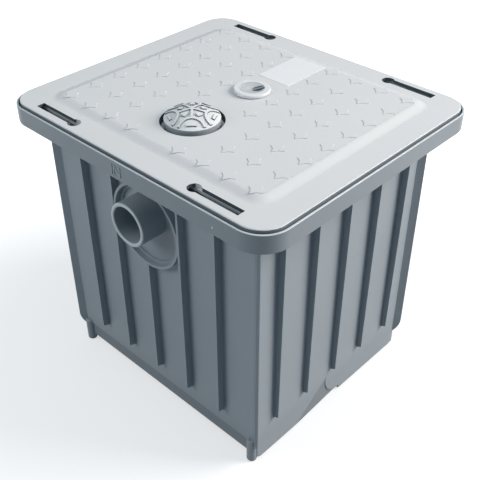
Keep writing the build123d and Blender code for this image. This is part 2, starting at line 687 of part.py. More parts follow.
def make_bail():
    """The basket's wire handle, folded down over the basket's rim."""
    pin_end = BASKET_L / 2 + EAR_T
    path = FilletPolyline(
        (0, -BAIL_Y, 0), (BAIL_LEG, -BAIL_Y, 0), (BAIL_LEG, BAIL_Y, 0), (0, BAIL_Y, 0), radius=BAIL_BEND
    )
    wire = sweep(Plane(origin=path @ 0, z_dir=path % 0) * Circle(BAIL_R), path=path)
    for sy in SIDES:
        wire += Pos(0, sy * BAIL_Y, 0) * Sphere(BAIL_R)
        length = pin_end - BAIL_Y
        wire += Pos(0, sy * (BAIL_Y + length / 2), 0) * Rot(90, 0, 0) * Cylinder(BAIL_R, length)
    return Pos(BASKET_X, 0, BAIL_Z) * wire


def ring_seal():
    """A rubber ring with a narrow lip on the pipe and a wide back in the socket's groove."""
    lip_r = PIPE_R + RING_SEAL_GAP
    back_r = PIPE_R + RING_SEAL_H - RING_SEAL_GAP
    lip = RING_SEAL_LIP / 2
    back = RING_SEAL_W / 2
    outline = Polyline((lip_r, -lip), (back_r, -back), (back_r, back), (lip_r, lip), close=True)
    return revolve(make_face(Plane.XZ * outline), Axis.Z)


def make_tee():
    """The outlet tee: an upright run with a socket below and one towards the outlet pipe."""
    socket_z = TEE_SOCKET_TOP - SOCKET_L
    tee = disc(TEE_RUN_R, TEE_TOP - DIP_TOP, (TEE_X, 0, DIP_TOP))
    tee += disc(SOCKET_R, SOCKET_L, (TEE_X, 0, socket_z))
    tee += pipe_x(SOCKET_R, STUB_X - WALL, TEE_SOCKET_X, 0, OUTLET_Z)
    tee += pipe_x(TEE_RUN_R, TEE_X, STUB_X, 0, OUTLET_Z)
    tee -= disc(TEE_BORE_R, TEE_TOP - socket_z, (TEE_X, 0, socket_z))
    tee -= disc(PIPE_R + SOCKET_GAP, DIP_TOP - socket_z, (TEE_X, 0, socket_z))
    tee -= pipe_x(TEE_BORE_R, TEE_X, TEE_SOCKET_X, 0, OUTLET_Z)
    tee -= pipe_x(PIPE_R + SOCKET_GAP, STUB_X, TEE_SOCKET_X, 0, OUTLET_Z)
    groove_r = PIPE_R + RING_SEAL_H
    half = RING_SEAL_W / 2 + RING_SEAL_GAP
    tee -= disc(groove_r, 2 * half, (TEE_X, 0, DIP_SEAL_Z - half))
    return tee - pipe_x(groove_r, TEE_SEAL_X - half, TEE_SEAL_X + half, 0, OUTLET_Z)


def make_dip_pipe():
    """The dip pipe under the tee, with a notched lower end."""
    pipe = disc(PIPE_R, DIP_TOP - DIP_END_Z, (TEE_X, 0, DIP_END_Z))
    pipe -= disc(DIP_BORE_R, DIP_TOP - DIP_END_Z, (TEE_X, 0, DIP_END_Z))
    pipe -= block(4 * PIPE_R, DIP_NOTCH_W, DIP_NOTCH_H, (TEE_X, 0, DIP_END_Z))
    return pipe - block(DIP_NOTCH_W, 4 * PIPE_R, DIP_NOTCH_H, (TEE_X, 0, DIP_END_Z))


def make_tee_cap():
    """The cleaning cap on top of the tee, with a pull tab."""
    skirt_z = TEE_ROOF_Z - TEE_CAP_SKIRT
    cap = disc(TEE_CAP_R, TEE_CAP_SKIRT + TEE_CAP_T, (0, 0, skirt_z))
    cap = fillet(cap.edges().group_by(Axis.Z)[-1], TEE_CAP_T / 2)
    cap -= disc(TEE_RUN_R + TEE_CAP_GAP, TEE_CAP_SKIRT, (0, 0, skirt_z))
    tab_z = TEE_ROOF_Z + (TEE_CAP_T + TEE_TAB_H) / 2
    tab = Plane.XZ * (Pos(0, tab_z) * RectangleRounded(TEE_TAB_L, TEE_TAB_H, TEE_TAB_R))
    cap += extrude(tab, TEE_TAB_W / 2, both=True)
    return Pos(TEE_X, 0, 0) * cap


def make_tee_cap_seal():
    """The flat ring between the cleaning cap and the tee's rim."""
    ring = disc(TEE_RUN_R, TEE_CAP_SEAL_H, (TEE_X, 0, TEE_TOP))
    return ring - disc(TEE_BORE_R, TEE_CAP_SEAL_H, (TEE_X, 0, TEE_TOP))


nodes = {
    "tank": make_tank(),
    "lid": make_lid(),
    "lid_gasket": make_gasket(),
    "inspection_cap": make_cap(),
    "inspection_cap_seal": make_cap_seal(),
    "sight_plug": make_sight_plug(),
    "sight_plug_seal": make_sight_seal(),
    "inlet_baffle": make_inlet_baffle(),
    "outlet_baffle": make_outlet_baffle(),
    "sediment_basket": make_basket(),
    "basket_handle": make_bail(),
    "outlet_tee": make_tee(),
    "outlet_tee_seal": Pos(TEE_SEAL_X, 0, OUTLET_Z) * Rot(0, 90, 0) * ring_seal(),
    "dip_pipe": make_dip_pipe(),
    "dip_pipe_seal": Pos(TEE_X, 0, DIP_SEAL_Z) * ring_seal(),
    "tee_cleaning_cap": make_tee_cap(),
    "tee_cap_seal": make_tee_cap_seal(),
}

os.makedirs("parts", exist_ok=True)
for name, solid in nodes.items():
    export_step(solid, f"parts/{name}.step")
    print(name, len(solid.solids()), round(solid.volume))
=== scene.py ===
import json
from math import radians

import bmesh
import bpy
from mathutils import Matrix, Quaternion, Vector

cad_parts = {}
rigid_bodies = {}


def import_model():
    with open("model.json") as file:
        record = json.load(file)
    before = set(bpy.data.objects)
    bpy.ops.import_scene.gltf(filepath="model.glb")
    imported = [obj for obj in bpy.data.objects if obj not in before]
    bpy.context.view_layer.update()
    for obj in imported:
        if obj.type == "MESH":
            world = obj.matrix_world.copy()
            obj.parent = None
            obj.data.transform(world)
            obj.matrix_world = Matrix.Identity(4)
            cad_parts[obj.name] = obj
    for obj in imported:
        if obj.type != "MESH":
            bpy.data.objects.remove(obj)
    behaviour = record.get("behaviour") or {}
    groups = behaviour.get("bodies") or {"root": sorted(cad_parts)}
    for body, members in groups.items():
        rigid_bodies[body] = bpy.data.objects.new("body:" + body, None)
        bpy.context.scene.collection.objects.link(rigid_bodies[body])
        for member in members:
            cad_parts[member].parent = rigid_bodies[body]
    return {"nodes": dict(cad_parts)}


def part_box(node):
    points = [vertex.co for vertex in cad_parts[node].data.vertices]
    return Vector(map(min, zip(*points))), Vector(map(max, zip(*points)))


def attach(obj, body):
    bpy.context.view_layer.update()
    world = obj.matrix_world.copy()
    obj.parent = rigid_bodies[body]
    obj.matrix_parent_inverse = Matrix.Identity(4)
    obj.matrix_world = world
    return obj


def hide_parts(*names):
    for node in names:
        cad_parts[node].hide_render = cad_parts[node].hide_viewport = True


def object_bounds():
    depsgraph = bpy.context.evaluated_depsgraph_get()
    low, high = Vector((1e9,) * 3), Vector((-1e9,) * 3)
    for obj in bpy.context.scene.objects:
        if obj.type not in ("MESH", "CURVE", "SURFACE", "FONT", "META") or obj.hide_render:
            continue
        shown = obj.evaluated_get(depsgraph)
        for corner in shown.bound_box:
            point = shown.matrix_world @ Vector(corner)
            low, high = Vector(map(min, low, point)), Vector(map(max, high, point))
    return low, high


# Grease trap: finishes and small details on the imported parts. Metres, +Z up, water flows along +X.

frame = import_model()
cad_low, cad_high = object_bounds()

MM = 0.001

# The photo's viewpoint
CAMERA_AT = (-0.5581, -0.5341, 0.7443)
CAMERA_AZIMUTH = -46.36
CAMERA_PITCH = 36.92
CAMERA_ROLL = -0.22
CAMERA_LENS = 59.7
CAMERA_SENSOR = 36.0

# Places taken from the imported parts
tank_low, tank_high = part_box("tank")
lid_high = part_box("lid")[1]
cap_low, cap_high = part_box("inspection_cap")
plug_low, plug_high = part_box("sight_plug")
DECK_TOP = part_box("sight_plug_seal")[0].z
RIM_FACE_X = tank_low.x
LIP_TOP = 348.0 * MM
LID_FLAT = LIP_TOP + 3.0 * MM
SHELF_UNDER = LIP_TOP - 10.5 * MM
END_WALL_Y = tank_high.y - 38.0 * MM
SIDE_WALL_X = tank_high.x - 34.5 * MM
CAP_MIDDLE = (cap_low + cap_high) / 2
PLUG_MIDDLE = (plug_low + plug_high) / 2

# Raised deck of the lid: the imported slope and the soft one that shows
DECK_HALF_X = lid_high.x - 33.8 * MM
DECK_HALF_Y = lid_high.y - 33.8 * MM
DECK_CORNER = 14.0 * MM
DECK_SLOPE = 3.45 * MM
SOFT_OUT = 6.0 * MM
SOFT_IN = 8.0 * MM
SLOPE_SNAP = 0.05
STUD_SHARE = 0.6
SLOPE_CUTS = 6

# Rounding of the moulded edges, in degrees where it is an angle
MERGE_DISTANCE = 0.01 * MM
FLAT_ANGLE = 0.5
ROUND_ANGLE = 32
SMOOTH_ANGLE = 50

# Reach of the finishes that cover only a part of a piece
LIP_ROUND = 1.3 * MM
BAND_IN = 10.0 * MM
BAND_TALL = 20.5 * MM
BASE_IN = 11.5 * MM
BASE_TOP = 29.9 * MM
MOUTH_OUT = 29.0 * MM
MOUTH_UNDER_LIP = 25.0 * MM
FLAT_SIDE = 30.0 * MM
FLAT_TOP = 46.0 * MM
FLAT_IN = 6.0 * MM
FLAT_EDGE_LOW = 3.5 * MM
LID_CORNER = 28.0 * MM
LID_SKIN = 0.6 * MM
NECK_R = 34.6 * MM
SLOT_DEEP = 4.5 * MM
KNOB_R = 28.6 * MM
RELIEF_R = 28.9 * MM
DISH_R = 13.6 * MM

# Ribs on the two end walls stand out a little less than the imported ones
RIB_OUT = 8.5 * MM
END_RIB_OUT = 6.2 * MM

# Bare plate on the lid
PLATE_X = (57.0 * MM, 123.0 * MM)
PLATE_HALF_Y = 21.8 * MM
PLATE_Y = 0.8 * MM
PLATE_T = 0.35 * MM
PLATE_ROUND = 1.6 * MM

# Raised mark and pip on the rim
MARK_TALL = 11.0 * MM
MARK_Y = 3.0 * MM
MARK_Z = LIP_TOP - 11.0 * MM
MARK_PROUD = 0.5 * MM
PIP_Y = -129.0 * MM
PIP_Z = LIP_TOP - 12.5 * MM
PIP_R = 1.3 * MM


def deselect():
    """Nothing selected and no edit mode, so the next operator acts on the new piece alone."""
    if bpy.context.object and bpy.context.object.mode != "OBJECT":
        bpy.ops.object.mode_set(mode="OBJECT")
    bpy.ops.object.select_all(action="DESELECT")


def pick(piece):
    """Makes one piece the selected and active one."""
    deselect()
    piece.select_set(True)
    bpy.context.view_layer.objects.active = piece


def settle(piece):
    """Puts a piece's place, turn and size into its mesh."""
    pick(piece)
    bpy.ops.object.transform_apply(location=True, rotation=True, scale=True)


def finish_modifier(piece, kind, **values):
    """Adds one modifier with its values and applies it."""
    pick(piece)
    modifier = piece.modifiers.new(kind.title(), kind)
    for key, value in values.items():
        setattr(modifier, key, value)
    bpy.ops.object.modifier_apply(modifier=modifier.name)


# Effect groups


def effect_group(name, inputs, outputs):
    """An empty shader group with named sockets, each given as (kind, name, value)."""
    group = bpy.data.node_groups.new(name, "ShaderNodeTree")
    for kind, label, value in inputs:
        socket = group.interface.new_socket(label, in_out="INPUT", socket_type=kind)
        if value is not None:
            socket.default_value = value
    for kind, label in outputs:
        group.interface.new_socket(label, in_out="OUTPUT", socket_type=kind)
    start = group.nodes.new("NodeGroupInput")
    end = group.nodes.new("NodeGroupOutput")
    return group, start, end


def math_node(tree, operation, first, second):
    """A Math node with each input linked or set."""
    node = tree.nodes.new("ShaderNodeMath")
    node.operation = operation
    for socket, value in zip(node.inputs, (first, second)):
        if isinstance(value, (int, float)):
            socket.default_value = value
        else:
            tree.links.new(value, socket)
    return node.outputs[0]


def noise_node(tree, vector, scale, detail=2.0, roughness=0.5):
    """A Noise texture read at the given vector, with its scale linked or set."""
    node = tree.nodes.new("ShaderNodeTexNoise")
    node.inputs["Detail"].default_value = detail
    node.inputs["Roughness"].default_value = roughness
    tree.links.new(vector, node.inputs["Vector"])
    if isinstance(scale, (int, float)):
        node.inputs["Scale"].default_value = scale
    else:
        tree.links.new(scale, node.inputs["Scale"])
    return node.outputs["Fac"]


def make_grain_group():
    """Fine moulded grain: a height made of small soft cells and finer noise."""
    group, start, end = effect_group(
        "moulded grain",
        [("NodeSocketVector", "Vector", None), ("NodeSocketFloat", "Cells per metre", 900.0)],
        [("NodeSocketFloat", "Height")],
    )
    cells = group.nodes.new("ShaderNodeTexVoronoi")
    cells.feature = "SMOOTH_F1"
    group.links.new(start.outputs["Vector"], cells.inputs["Vector"])
    group.links.new(start.outputs["Cells per metre"], cells.inputs["Scale"])
    fine_scale = math_node(group, "MULTIPLY", start.outputs["Cells per metre"], 2.6)
    fine = noise_node(group, start.outputs["Vector"], fine_scale, detail=3.0)
    low = math_node(group, "MULTIPLY", cells.outputs["Distance"], 0.6)
    high = math_node(group, "MULTIPLY", fine, 0.5)
    group.links.new(math_node(group, "ADD", low, high), end.inputs["Height"])
    return group


def make_tone_group():
    """Slow drift of a moulded colour, lighter and darker by a small share."""
    group, start, end = effect_group(
        "moulded tone",
        [
            ("NodeSocketVector", "Vector", None),
            ("NodeSocketColor", "Base", (0.5, 0.5, 0.5, 1.0)),
            ("NodeSocketFloat", "Patches per metre", 9.0),
            ("NodeSocketFloat", "Share", 0.05),
        ],
        [("NodeSocketColor", "Color"), ("NodeSocketFloat", "Mask")],
    )
    patch = noise_node(group, start.outputs["Vector"], start.outputs["Patches per metre"], detail=3.0)
    centred = math_node(group, "SUBTRACT", patch, 0.5)
    swing = math_node(group, "MULTIPLY", centred, start.outputs["Share"])
    gain = math_node(group, "ADD", math_node(group, "MULTIPLY", swing, 2.0), 1.0)
    scale = group.nodes.new("ShaderNodeVectorMath")
    scale.operation = "SCALE"
    group.links.new(start.outputs["Base"], scale.inputs[0])
    group.links.new(gain, scale.inputs["Scale"])
    group.links.new(scale.outputs[0], end.inputs["Color"])
    group.links.new(patch, end.inputs["Mask"])
    return group


def make_ground_shade_group():
    """Painted shade: darkens a colour towards the ground."""
    group, start, end = effect_group(
        "ground grime",
        [
            ("NodeSocketVector", "Vector", None),
            ("NodeSocketColor", "Color", (0.5, 0.5, 0.5, 1.0)),
            ("NodeSocketFloat", "Share", 0.2),
            ("NodeSocketFloat", "Height", 0.03),
        ],
        [("NodeSocketColor", "Color")],
    )
    split = group.nodes.new("ShaderNodeSeparateXYZ")
    group.links.new(start.outputs["Vector"], split.inputs[0])
    rise = group.nodes.new("ShaderNodeMapRange")
    rise.interpolation_type = "SMOOTHSTEP"
    group.links.new(split.outputs["Z"], rise.inputs["Value"])
    lowest = math_node(group, "MULTIPLY", start.outputs["Height"], 0.7)
    highest = math_node(group, "MULTIPLY", start.outputs["Height"], 1.1)
    darkest = math_node(group, "SUBTRACT", 1.0, start.outputs["Share"])
    for value, label in ((lowest, "From Min"), (highest, "From Max"), (darkest, "To Min")):
        group.links.new(value, rise.inputs[label])
    scale = group.nodes.new("ShaderNodeVectorMath")
    scale.operation = "SCALE"
    group.links.new(start.outputs["Color"], scale.inputs[0])
    group.links.new(rise.outputs["Result"], scale.inputs["Scale"])
    group.links.new(scale.outputs[0], end.inputs["Color"])
    return group


def make_painted_patch_group():
    """Painted shade: a soft oval patch of a second colour, level in X and Y, with a paler painted highlight
    streak in it.
    """
    group, start, end = effect_group(
        "see-through patch",
        [
            ("NodeSocketVector", "Vector", None),
            ("NodeSocketColor", "Color", (0.9, 0.9, 0.9, 1.0)),
            ("NodeSocketColor", "Patch", (0.1, 0.1, 0.1, 1.0)),
        ],
        [("NodeSocketColor", "Color")],
    )
    length = group.nodes.new("ShaderNodeVectorMath")
    length.operation = "LENGTH"
    group.links.new(start.outputs["Vector"], length.inputs[0])
    soft = group.nodes.new("ShaderNodeMapRange")
    soft.interpolation_type = "SMOOTHSTEP"
    soft.inputs["From Min"].default_value = 1.0
    soft.inputs["From Max"].default_value = 0.6
    group.links.new(length.outputs["Value"], soft.inputs["Value"])
    split = group.nodes.new("ShaderNodeSeparateXYZ")
    group.links.new(start.outputs["Vector"], split.inputs[0])
    streak = math_node(group, "ABSOLUTE", math_node(group, "SUBTRACT", split.outputs["Y"], 0.15), 0.0)
    pale = group.nodes.new("ShaderNodeMapRange")
    pale.interpolation_type = "SMOOTHSTEP"
    pale.inputs["From Min"].default_value = 0.05
    pale.inputs["From Max"].default_value = 0.3
    pale.inputs["To Min"].default_value = 0.35
    group.links.new(streak, pale.inputs["Value"])
    mix = group.nodes.new("ShaderNodeMix")
    mix.data_type = "RGBA"
    both = math_node(group, "MULTIPLY", soft.outputs["Result"], pale.outputs["Result"])
    group.links.new(both, mix.inputs["Factor"])
    group.links.new(start.outputs["Color"], mix.inputs["A"])
    group.links.new(start.outputs["Patch"], mix.inputs["B"])
    group.links.new(mix.outputs["Result"], end.inputs["Color"])
    return group


def make_flow_group():
    """Faint flow marks and rubbed patches in a gloss, as a change of roughness."""
    group, start, end = effect_group(
        "gloss drift",
        [
            ("NodeSocketVector", "Vector", None),
            ("NodeSocketFloat", "Roughness", 0.5),
            ("NodeSocketFloat", "Swing", 0.08),
        ],
        [("NodeSocketFloat", "Roughness")],
    )
    broad = noise_node(group, start.outputs["Vector"], 14.0, detail=4.0)
    fine = noise_node(group, start.outputs["Vector"], 160.0, detail=2.0)
    broad_part = math_node(group, "MULTIPLY", broad, 0.7)
    fine_part = math_node(group, "MULTIPLY", fine, 0.3)
    centred = math_node(group, "SUBTRACT", math_node(group, "ADD", broad_part, fine_part), 0.5)
    reach = math_node(group, "MULTIPLY", start.outputs["Swing"], 2.0)
    swing = math_node(group, "MULTIPLY", centred, reach)
    drifted = math_node(group, "ADD", start.outputs["Roughness"], swing)
    group.links.new(drifted, end.inputs["Roughness"])
    return group


GRAIN = make_grain_group()
TONE = make_tone_group()
FLOW = make_flow_group()
GROUND_SHADE = make_ground_shade_group()
PAINTED_PATCH = make_painted_patch_group()


def use_group(tree, group, vector, **values):
    """Places an effect group in a material with its own values."""
    node = tree.nodes.new("ShaderNodeGroup")
    node.node_tree = group
    tree.links.new(vector, node.inputs["Vector"])
    for key, value in values.items():
        node.inputs[key.replace("_", " ")].default_value = value
    return node


def plastic(
    name, color, roughness=0.5, swing=0.08, share=0.05, cells=900.0, grain=0.12, depth=0.12, **sockets,
):
    """A moulded plastic: drifting tone, uneven gloss and a fine grain."""
    material = bpy.data.materials.new(name)
    material.use_nodes = True
    tree = material.node_tree
    shader = tree.nodes["Principled BSDF"]
    place = tree.nodes.new("ShaderNodeTexCoord").outputs["Object"]
    tone = use_group(tree, TONE, place, Base=(*color, 1.0), Share=share)
    tree.links.new(tone.outputs["Color"], shader.inputs["Base Color"])
    gloss = use_group(tree, FLOW, place, Roughness=roughness, Swing=swing)
    tree.links.new(gloss.outputs["Roughness"], shader.inputs["Roughness"])
    skin = use_group(tree, GRAIN, place, Cells_per_metre=cells)
    bump = tree.nodes.new("ShaderNodeBump")
    bump.inputs["Strength"].default_value = grain
    bump.inputs["Distance"].default_value = depth * MM
    tree.links.new(skin.outputs["Height"], bump.inputs["Height"])
    tree.links.new(bump.outputs["Normal"], shader.inputs["Normal"])
    for key, value in sockets.items():
        shader.inputs[key.replace("_", " ")].default_value = value
    return material


# Colours of the finishes
TANK_GREY = (0.335, 0.378, 0.410)
# Painted shade: a darker copy of the tank grey for the rim's outer band
BAND_SHADE_GREY = (0.235, 0.272, 0.300)
# Painted shade: a darker copy of the tank grey for the stepped-in base under its overhang
BASE_SHADE_GREY = (0.200, 0.235, 0.262)
# Painted shade: a darker copy of the tank grey for the slanted flats
FLAT_SHADE_GREY = (0.215, 0.245, 0.265)
# Painted highlight: a pale grey for the lip's top edge, the pipe mouths and the pip
HIGHLIGHT_GREY = (0.64, 0.68, 0.70)
LID_GREY = (0.70, 0.71, 0.715)
CAP_GREY = (0.77, 0.78, 0.785)
# Painted shade: a dark grey for the lid's edge, the flats' edges and the cap's groove walls
EDGE_SHADE_GREY = (0.18, 0.215, 0.24)
# Painted shade: a near-black grey for the walls of the lid's slots and sunken neck
RECESS_SHADE_GREY = (0.06, 0.085, 0.10)
# Painted shade: the dark of the patch painted in the plug's dish
PAINTED_PATCH_DARK = (0.05, 0.08, 0.11)
PALE_INNER = (0.42, 0.45, 0.47)
PIPE_GREY = (0.30, 0.32, 0.34)
PLATE_WHITE = (0.86, 0.87, 0.88)
SEAL_BLACK = (0.012, 0.012, 0.013)
CLEAR_TINT = (0.93, 0.95, 0.96)
STEEL = (0.62, 0.62, 0.61)

tank_plastic = plastic("satin tank plastic", TANK_GREY, roughness=0.46, cells=1100.0, grain=0.10)
band_shade_plastic = plastic("satin rim plastic", BAND_SHADE_GREY, roughness=0.42, cells=1100.0, grain=0.08)
base_shade_plastic = plastic("scuffed base plastic", BASE_SHADE_GREY, roughness=0.5, cells=1100.0, grain=0.1)
flat_shade_plastic = plastic("scuffed flat plastic", FLAT_SHADE_GREY, roughness=0.5, cells=1100.0, grain=0.1)
highlight_plastic = plastic("rubbed rim plastic", HIGHLIGHT_GREY, roughness=0.36, cells=1100.0, grain=0.05)
edge_shade_plastic = plastic("dusty lid edge plastic", EDGE_SHADE_GREY, roughness=0.6, cells=700.0, grain=0.15)
recess_shade_plastic = plastic("dark recess plastic", RECESS_SHADE_GREY, roughness=0.6, cells=700.0, grain=0.15)
lid_plastic = plastic("grained lid plastic", LID_GREY, roughness=0.58, share=0.025, cells=700.0, grain=0.25)
cap_plastic = plastic("rubbed cap plastic", CAP_GREY, roughness=0.5, share=0.025, cells=700.0, grain=0.15)
inner_plastic = plastic("pale inner plastic", PALE_INNER, roughness=0.42, share=0.04)
pipe_plastic = plastic("smooth pipe plastic", PIPE_GREY, roughness=0.28, share=0.03, grain=0.04)
seal_rubber = plastic("black seal rubber", SEAL_BLACK, roughness=0.62, share=0.1, cells=1600.0, grain=0.2)
plate_film = plastic("white plate film", PLATE_WHITE, roughness=0.35, share=0.02, grain=0.03)
clear_plastic = plastic(
    "clear plug plastic", CLEAR_TINT, roughness=0.08, swing=0.03, share=0.01, grain=0.02,
    Transmission_Weight=0.45, IOR=1.49,
)
clouded_plastic = plastic(
    "clouded plug rim plastic", CLEAR_TINT, roughness=0.16, swing=0.04, share=0.01, grain=0.02,
    Transmission_Weight=0.15, IOR=1.49,
)
drawn_wire = plastic("drawn steel wire", STEEL, roughness=0.3, share=0.06, grain=0.05, Metallic=1.0)


def add_ground_shade(material, share, height):
    """Puts the painted ground shade between a plastic's tone and its shader."""
    tree = material.node_tree
    shader = tree.nodes["Principled BSDF"]
    tone = shader.inputs["Base Color"].links[0].from_socket
    place = tree.nodes.new("ShaderNodeTexCoord").outputs["Object"]
    low_shade = use_group(tree, GROUND_SHADE, place, Share=share, Height=height)
    tree.links.new(tone, low_shade.inputs["Color"])
    tree.links.new(low_shade.outputs["Color"], shader.inputs["Base Color"])


def add_painted_patch(material, middle, turn, reach, color):
    """Puts one soft oval patch of painted shade between a plastic's tone and its shader."""
    tree = material.node_tree
    shader = tree.nodes["Principled BSDF"]
    tone = shader.inputs["Base Color"].links[0].from_socket
    place = tree.nodes.new("ShaderNodeTexCoord").outputs["Object"]
    centre = tree.nodes.new("ShaderNodeMapping")
    centre.vector_type = "TEXTURE"
    centre.inputs["Location"].default_value = (*middle, 0.0)
    centre.inputs["Rotation"].default_value = (0.0, 0.0, radians(turn))
    centre.inputs["Scale"].default_value = (*reach, 1000.0)
    tree.links.new(place, centre.inputs["Vector"])
    patch = use_group(tree, PAINTED_PATCH, centre.outputs["Vector"], Patch=(*color, 1.0))
    tree.links.new(tone, patch.inputs["Color"])
    tree.links.new(patch.outputs["Color"], shader.inputs["Base Color"])


# Painted shade on the plug's dish, standing in for the dim inside seen through it, with a painted highlight
# streak
PATCH_AT = (PLUG_MIDDLE.x + 5.4 * MM, PLUG_MIDDLE.y - 4.4 * MM)
PATCH_TURN = -36.0
PATCH_REACH = (9.0 * MM, 6.4 * MM)

# Painted shade: the tank's colour darkens towards the ground
GROUND_SHADE_SHARE = 0.08
GROUND_SHADE_HEIGHT = 45.0 * MM
add_ground_shade(tank_plastic, GROUND_SHADE_SHARE, GROUND_SHADE_HEIGHT)
add_painted_patch(clear_plastic, PATCH_AT, PATCH_TURN, PATCH_REACH, PAINTED_PATCH_DARK)

FINISHES = {
    "tank": tank_plastic,
    "lid": lid_plastic,
    "lid_gasket": seal_rubber,
    "inspection_cap": cap_plastic,
    "inspection_cap_seal": seal_rubber,
    "sight_plug": clear_plastic,
    "sight_plug_seal": seal_rubber,
    "inlet_baffle": inner_plastic,
    "outlet_baffle": inner_plastic,
    "sediment_basket": inner_plastic,
    "basket_handle": drawn_wire,
    "outlet_tee": pipe_plastic,
    "outlet_tee_seal": seal_rubber,
    "dip_pipe": pipe_plastic,
    "dip_pipe_seal": seal_rubber,
    "tee_cleaning_cap": pipe_plastic,
    "tee_cap_seal": seal_rubber,
}


def dress(piece, material):
    """Gives a piece one finish."""
    if piece.data.materials:
        piece.data.materials[0] = material
    else:
        piece.data.materials.append(material)


for node_name, finish in FINISHES.items():
    dress(frame["nodes"][node_name], finish)


# Mouldings


def slim_ribs(piece):
    """Sets the end walls' ribs back to the reach that shows."""
    for vertex in piece.data.vertices:
        out = abs(vertex.co.y) - END_WALL_Y
        on_end = 0.5 * MM < out < RIB_OUT + 0.5 * MM and abs(vertex.co.x) < SIDE_WALL_X - 10.0 * MM
        if on_end and 40.0 * MM < vertex.co.z < SHELF_UNDER:
            vertex.co.y -= (out * (1 - END_RIB_OUT / RIB_OUT)) * (1 if vertex.co.y > 0 else -1)


def beyond_deck(x, y):
    """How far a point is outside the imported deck's outline, below zero inside it."""
    over_x = abs(x) - DECK_HALF_X + DECK_CORNER
    over_y = abs(y) - DECK_HALF_Y + DECK_CORNER
    corner = Vector((max(over_x, 0.0), max(over_y, 0.0))).length
    return corner + min(max(over_x, over_y), 0.0) - DECK_CORNER


def deck_outward(x, y):
    """The level direction straight out of the deck at a point."""
    over_x = max(abs(x) - DECK_HALF_X + DECK_CORNER, 0.0)
    over_y = max(abs(y) - DECK_HALF_Y + DECK_CORNER, 0.0)
    out = Vector((over_x, over_y, 0.0)).normalized()
    return Vector((out.x if x > 0 else -out.x, out.y if y > 0 else -out.y, 0.0))


def soften_deck(piece):
    """Turns the deck's straight slope into a wider soft one."""
    mesh = bmesh.new()
    mesh.from_mesh(piece.data)

    def on_slope(vertex):
        away = beyond_deck(vertex.co.x, vertex.co.y)
        level = LID_FLAT - 0.05 * MM < vertex.co.z < DECK_TOP + 0.05 * MM
        return level and -DECK_SLOPE - 0.1 * MM < away < 0.1 * MM

    across = [
        edge for edge in mesh.edges
        if all(on_slope(vertex) for vertex in edge.verts)
        and abs(edge.verts[0].co.z - edge.verts[1].co.z) > 1.2 * MM
    ]
    bmesh.ops.subdivide_edges(mesh, edges=across, cuts=SLOPE_CUTS, use_grid_fill=True)
    for vertex in mesh.verts:
        if not on_slope(vertex):
            continue
        away = beyond_deck(vertex.co.x, vertex.co.y)
        share = min(max((-away / DECK_SLOPE - SLOPE_SNAP) / (1 - 2 * SLOPE_SNAP), 0.0), 1.0)
        new_away = SOFT_OUT - share * (SOFT_OUT + SOFT_IN)
        out = deck_outward(vertex.co.x, vertex.co.y)
        vertex.co += out * (new_away - away)
        vertex.co.z = LID_FLAT + (DECK_TOP - LID_FLAT) * share * share * (3 - 2 * share)
    mesh.to_mesh(piece.data)
    mesh.free()


def shape_lid(piece):
    """The deck's soft slope and its low studs."""
    soften_deck(piece)
    for vertex in piece.data.vertices:
        above = vertex.co.z - DECK_TOP
        if above > 0.1 * MM:
            vertex.co.z = DECK_TOP + above * STUD_SHARE


# Each rounded node: the width in mm, the new piece's name and what else changes in it
ROUND_EDGES = {
    "tank": (0.5, "tank_moulding", slim_ribs),
    "lid": (0.35, "lid_moulding", shape_lid),
    "inspection_cap": (0.3, "cap_moulding", None),
    "sight_plug": (0.4, "plug_moulding", None),
}


def rounded_copy(node_name, width, piece_name, reshape):
    """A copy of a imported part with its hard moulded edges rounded."""
    source = frame["nodes"][node_name]
    body = source.parent.name.removeprefix("body:")
    piece = bpy.data.objects.new(piece_name, source.data.copy())
    bpy.context.scene.collection.objects.link(piece)
    pick(piece)
    bpy.ops.object.mode_set(mode="EDIT")
    bpy.ops.mesh.select_all(action="SELECT")
    bpy.ops.mesh.remove_doubles(threshold=MERGE_DISTANCE)
    bpy.ops.mesh.dissolve_limited(angle_limit=radians(FLAT_ANGLE))
    bpy.ops.object.mode_set(mode="OBJECT")
    if reshape:
        reshape(piece)
    finish_modifier(
        piece, "BEVEL", width=width * MM, segments=2, limit_method="ANGLE",
        angle_limit=radians(ROUND_ANGLE), use_clamp_overlap=True, harden_normals=False,
        miter_outer="MITER_ARC",
    )
    pick(piece)
    bpy.ops.object.shade_smooth_by_angle(angle=radians(SMOOTH_ANGLE))
    finish_modifier(piece, "WEIGHTED_NORMAL", mode="FACE_AREA", weight=100, keep_sharp=True)
    dress(piece, FINISHES[node_name])
    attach(piece, body)
    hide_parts(node_name)
    return piece


def refinish(piece, material, wanted):
    """Gives a second finish to the faces whose corners all pass a test of place and normal."""
    piece.data.materials.append(material)
    slot = len(piece.data.materials) - 1
    points = piece.data.vertices
    for face in piece.data.polygons:
        if all(wanted(points[index].co, face.normal) for index in face.vertices):
            face.material_index = slot


mouldings = {
    node_name: rounded_copy(node_name, *settings) for node_name, settings in ROUND_EDGES.items()
}


def from_axis(point, middle):
    """How far a point is from an upright axis."""
    return Vector((point.x - middle.x, point.y - middle.y)).length


def on_highlit_lip(point, normal):
    """The top edge of the rim's lip, given a painted highlight."""
    return point.z > LIP_TOP - LIP_ROUND and normal.z > 0.35


def on_shaded_band(point, normal):
    """The upright outer band of the rim, given painted shade."""
    on_side = abs(point.x) > tank_high.x - BAND_IN or abs(point.y) > tank_high.y - BAND_IN
    return on_side and abs(normal.z) < 0.35 and point.z > LIP_TOP - BAND_TALL


